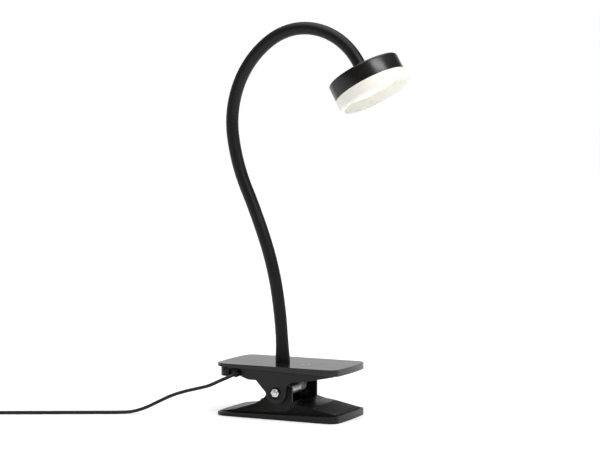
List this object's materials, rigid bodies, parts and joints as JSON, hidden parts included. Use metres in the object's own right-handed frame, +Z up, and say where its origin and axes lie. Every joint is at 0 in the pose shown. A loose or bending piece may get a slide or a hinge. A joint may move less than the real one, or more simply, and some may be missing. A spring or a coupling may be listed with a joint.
{
  "type": "clip on reading lamp",
  "caption": "Clip-on reading lamp: sprung two-plate clamp with rubber-lined jaws, bendable sleeved gooseneck, and a round flat head with a frosted light ring and recessed panel.",
  "frame": {"origin": "on the underside of the clamp's lower plate, straight below the foot of the neck", "axes": "+X from the clamp's handles towards the jaw tips, +Y across the clamp, +Z up along the neck"},
  "size_m": [0.5269, 0.2372, 0.4017],
  "materials": {
    "black_plastic": "fine satin moulded black plastic",
    "cap_metal": "satin black paint",
    "sleeve_rubber": "matte silicone sleeve",
    "pad_rubber": "soft ribbed grip rubber",
    "cord_rubber": "matte cord jacket",
    "plated_steel": "bright plated",
    "screw_steel": "zinc plated",
    "washer_plastic": "natural nylon",
    "board_green": "solder mask",
    "dark_parts": "moulded packages",
    "ferrule_brass": "turned brass",
    "core_steel": "wound steel tube",
    "sink_aluminium": "bare aluminium",
    "white_board": "white solder mask",
    "led_yellow": "phosphor coated",
    "panel_white": "milky diffuser",
    "opal_ring": "frosted translucent"
  },
  "bodies": {
    "clamp_top": {"upper_jaw": "black_plastic", "top_cover": "black_plastic", "cover_screws": "screw_steel", "upper_pad": "pad_rubber", "touch_board": "board_green", "board_parts": "dark_parts", "touch_contact": "ferrule_brass", "cord_bush": "cord_rubber", "cord_clip": "black_plastic", "clip_screws": "screw_steel", "cord_lead": "cord_rubber", "pivot_bolt": "plated_steel", "pivot_nut": "plated_steel", "pivot_washers": "washer_plastic", "spring_bush": "washer_plastic", "jaw_spring": "screw_steel", "neck_foot_ferrule": "ferrule_brass", "neck_foot_nut": "screw_steel", "neck_foot_collar": "sleeve_rubber", "neck_core_0": "core_steel", "neck_sleeve_1": "sleeve_rubber", "cord": "cord_rubber", "cord_coil": "cord_rubber", "cord_end": "cord_rubber", "plug_relief": "cord_rubber", "plug_grip": "cord_rubber", "plug_shell": "plated_steel"},
    "clamp_jaw": {"lower_jaw": "black_plastic", "lower_plate": "black_plastic", "lower_screws": "screw_steel", "lower_pad": "pad_rubber"},
    "neck_link_1": {"neck_core_1": "core_steel", "neck_sleeve_2": "sleeve_rubber"},
    "neck_link_2": {"neck_core_2": "core_steel", "neck_sleeve_3": "sleeve_rubber"},
    "neck_link_3": {"neck_core_3": "core_steel", "neck_sleeve_4": "sleeve_rubber"},
    "neck_link_4": {"neck_core_4": "core_steel", "neck_sleeve_5": "sleeve_rubber"},
    "neck_link_5": {"neck_core_5": "core_steel", "neck_sleeve_6": "sleeve_rubber"},
    "neck_link_6": {"neck_core_6": "core_steel", "neck_sleeve_7": "sleeve_rubber"},
    "neck_link_7": {"neck_core_7": "core_steel", "neck_sleeve_8": "sleeve_rubber"},
    "head": {"neck_core_8": "core_steel", "neck_crown_collar": "sleeve_rubber", "neck_crown_ferrule": "ferrule_brass", "neck_crown_nut": "screw_steel", "head_cap": "cap_metal", "heat_sink": "sink_aluminium", "heat_sink_screws": "screw_steel", "led_board": "white_board", "led_chips": "led_yellow", "light_panel": "panel_white", "light_ring": "opal_ring"}
  },
  "joints": [
    {"name": "jaw_hinge", "type": "hinge", "parent": "clamp_top", "child": "clamp_jaw", "pos_m": [0.009, 0, 0.027], "axis": [0, -1, 0], "range_deg": [-20, 31], "stiffness_Nm_per_rad": 4, "deforming": ["jaw_spring"]},
    {"name": "neck_bend_1", "type": "hinge", "parent": "clamp_top", "child": "neck_link_1", "pos_m": [-0.00228, 0, 0.09443], "axis": [0, 1, 0], "range_deg": [-25, 30], "deforming": ["neck_sleeve_1"]},
    {"name": "neck_sway_2", "type": "hinge", "parent": "neck_link_1", "child": "neck_link_2", "pos_m": [-0.01162, 0, 0.1506], "axis": [0.9692, 0, 0.2462], "range_deg": [-35, 35], "deforming": ["neck_sleeve_2"]},
    {"name": "neck_bend_3", "type": "hinge", "parent": "neck_link_2", "child": "neck_link_3", "pos_m": [-0.02999, 0, 0.20451], "axis": [0, 1, 0], "range_deg": [-30, 30], "deforming": ["neck_sleeve_3"]},
    {"name": "neck_bend_4", "type": "hinge", "parent": "neck_link_3", "child": "neck_link_4", "pos_m": [-0.05115, 0, 0.25739], "axis": [0, 1, 0], "range_deg": [-35, 25], "deforming": ["neck_sleeve_4"]},
    {"name": "neck_bend_5", "type": "hinge", "parent": "neck_link_4", "child": "neck_link_5", "pos_m": [-0.05719, 0, 0.31364], "axis": [0, 1, 0], "range_deg": [-40, 15], "deforming": ["neck_sleeve_5"]},
    {"name": "neck_bend_6", "type": "hinge", "parent": "neck_link_5", "child": "neck_link_6", "pos_m": [-0.0346, 0, 0.36515], "axis": [0, 1, 0], "range_deg": [-40, 15], "deforming": ["neck_sleeve_6"]},
    {"name": "neck_sway_7", "type": "hinge", "parent": "neck_link_6", "child": "neck_link_7", "pos_m": [0.01294, 0, 0.39437], "axis": [0.1607, 0, -0.987], "range_deg": [-30, 30], "deforming": ["neck_sleeve_7"]},
    {"name": "neck_bend_8", "type": "hinge", "parent": "neck_link_7", "child": "head", "pos_m": [0.06652, 0, 0.38033], "axis": [0, 1, 0], "range_deg": [-40, 10], "deforming": ["neck_sleeve_8"]}
  ]
}
